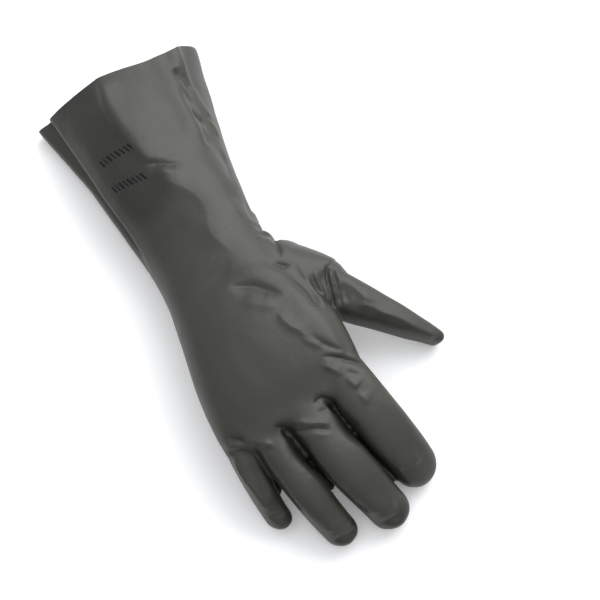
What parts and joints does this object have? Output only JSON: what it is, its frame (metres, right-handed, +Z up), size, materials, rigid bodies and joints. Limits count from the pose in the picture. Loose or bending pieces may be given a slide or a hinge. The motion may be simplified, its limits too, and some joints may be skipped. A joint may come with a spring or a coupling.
{
  "type": "neoprene coated glove",
  "caption": "Right-hand dipped neoprene gauntlet glove lying back up, hollow and open at its straight-cut cuff, with four curled fingers and a spread thumb.",
  "frame": {"origin": "on the surface that the glove lies on, under the middle of its bounding box", "axes": "+Y from the fingers to the cuff, +X towards the thumb, +Z up out of the back of the hand"},
  "size_m": [0.1598, 0.3456, 0.053],
  "materials": {
    "neoprene": "satin dipped neoprene, dark olive grey, slightly mottled"
  },
  "bodies": {
    "root": {"glove_shell": "neoprene"}
  },
  "joints": []
}
